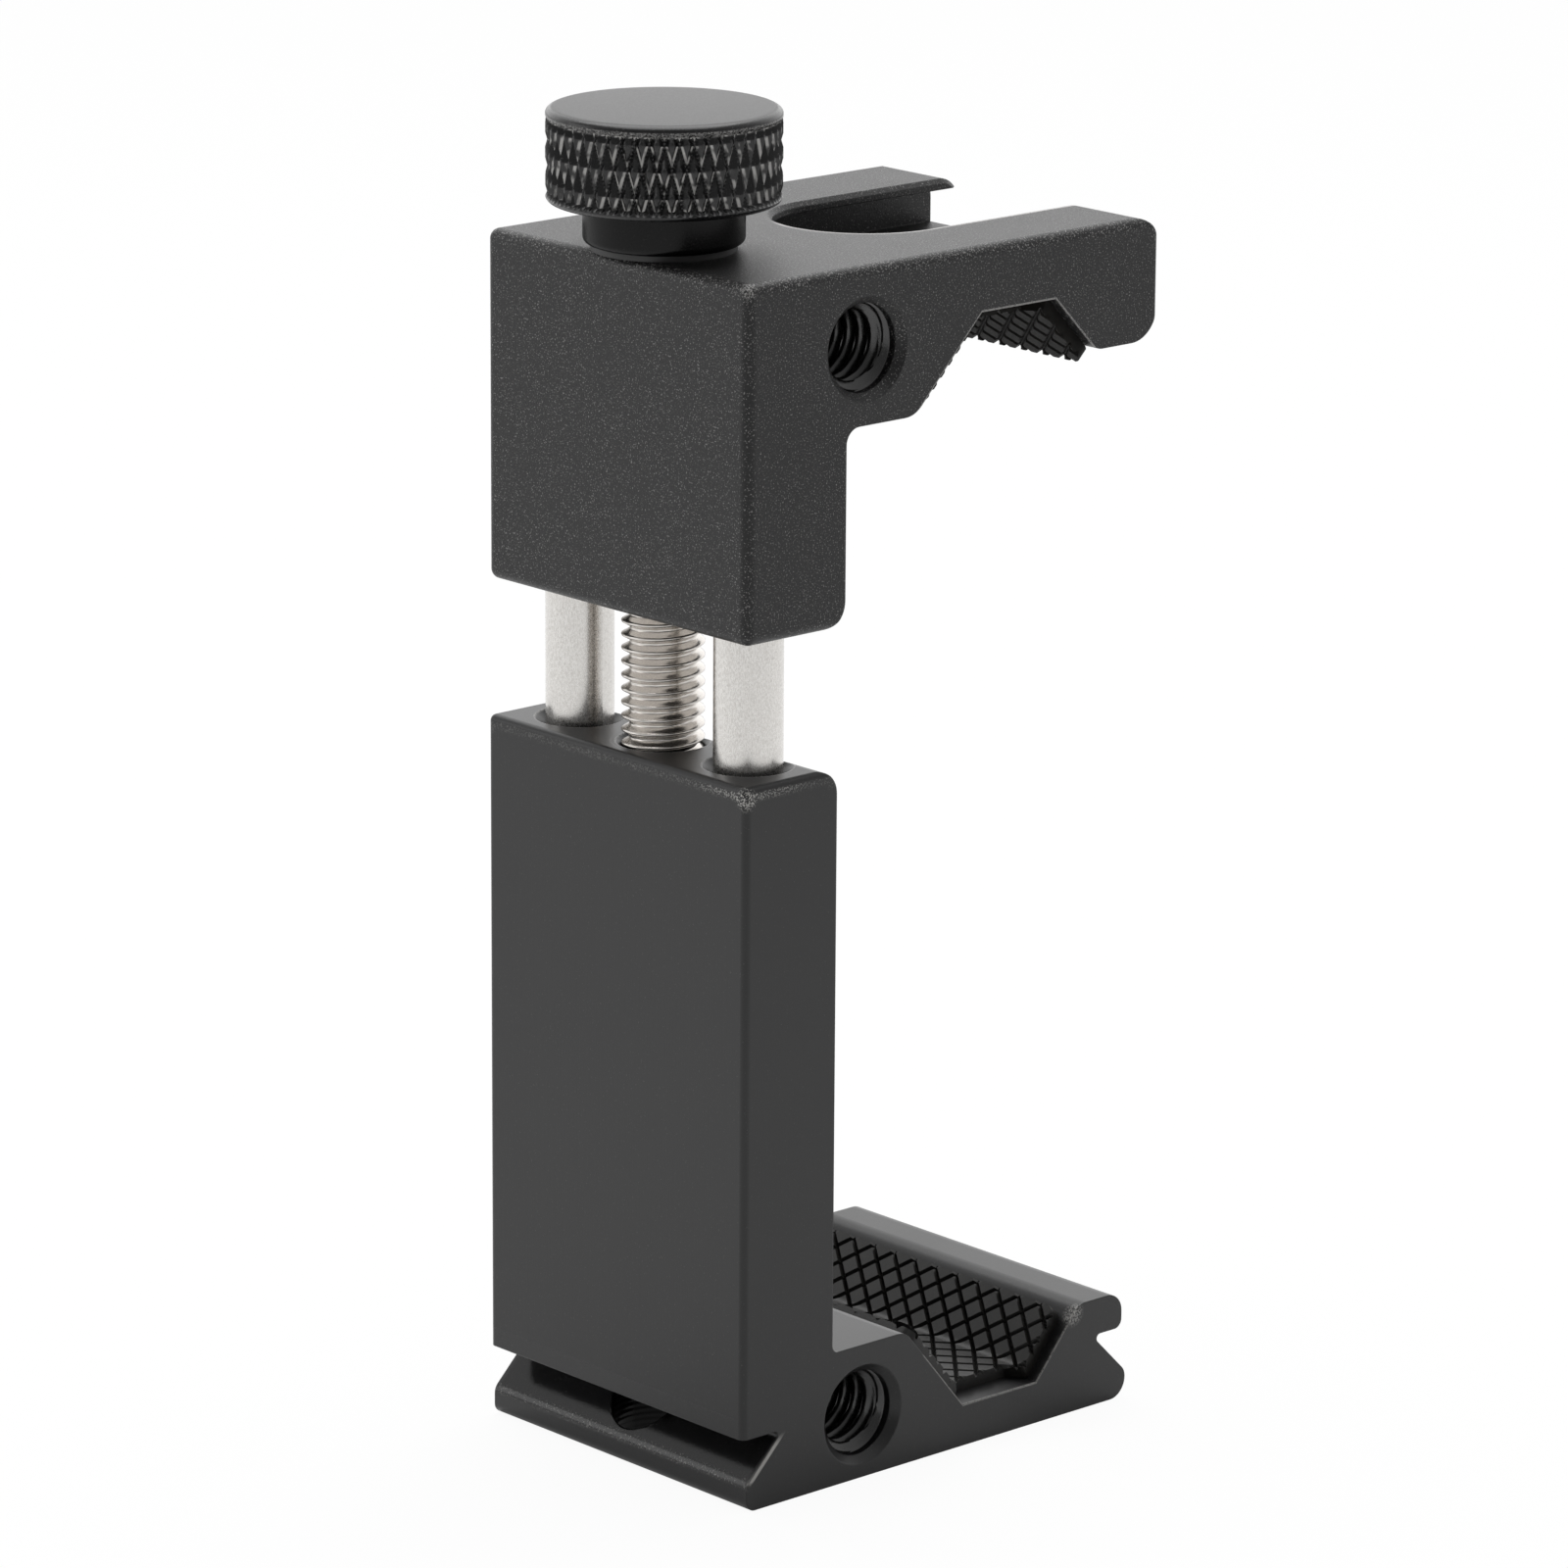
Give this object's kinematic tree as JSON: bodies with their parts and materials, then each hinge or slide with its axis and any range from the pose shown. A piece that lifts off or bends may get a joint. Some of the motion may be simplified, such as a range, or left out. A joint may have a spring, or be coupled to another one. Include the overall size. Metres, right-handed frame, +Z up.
{
  "type": "clamping phone mount for a tripod",
  "caption": "Screw-adjusted clamp of two L-shaped metal jaws on guide rods, with a dovetail foot, threaded side holes, rubber grips and an accessory shoe.",
  "frame": {"origin": "middle of the dovetail plate's flat bottom, where the mount stands", "axes": "+Z up along the rods and the screw; +Y from the back of the spine to the tips of the jaws; +X across the width, to the right of someone who looks at the back"},
  "size_m": [0.028, 0.0435, 0.0996],
  "materials": {
    "lower_anodised": "black anodised, brushed satin",
    "upper_anodised": "black anodised, bead-blasted",
    "knob_anodised": "black anodised, turned",
    "rod_steel": "ground stainless",
    "screw_steel": "cut thread",
    "spring_steel": "oiled",
    "washer_plastic": "matte",
    "grip_rubber": "matte, cross-hatched"
  },
  "bodies": {
    "lower": {"lower_jaw": "lower_anodised", "lower_grip": "grip_rubber"},
    "upper": {"upper_jaw": "upper_anodised", "upper_grip": "grip_rubber", "guide_rod_left": "rod_steel", "guide_rod_right": "rod_steel", "thrust_washer": "washer_plastic"},
    "screw": {"knob": "knob_anodised", "lead_screw": "screw_steel", "snap_ring": "spring_steel", "screw_end_ring": "spring_steel"}
  },
  "joints": [
    {"name": "jaw_slide", "type": "slide", "parent": "lower", "child": "upper", "axis": [0, 0, 1], "range_m": [-0.01, 0.025]},
    {"name": "knob_turn", "type": "hinge", "parent": "upper", "child": "screw", "pos_m": [0, -0.0148, 0.0895], "axis": [0, 0, 1], "range_deg": [-3600, 9000]}
  ],
  "couplings": [
    {"joint": "knob_turn", "follows": "jaw_slide", "rad_per_m": 6283.2}
  ]
}
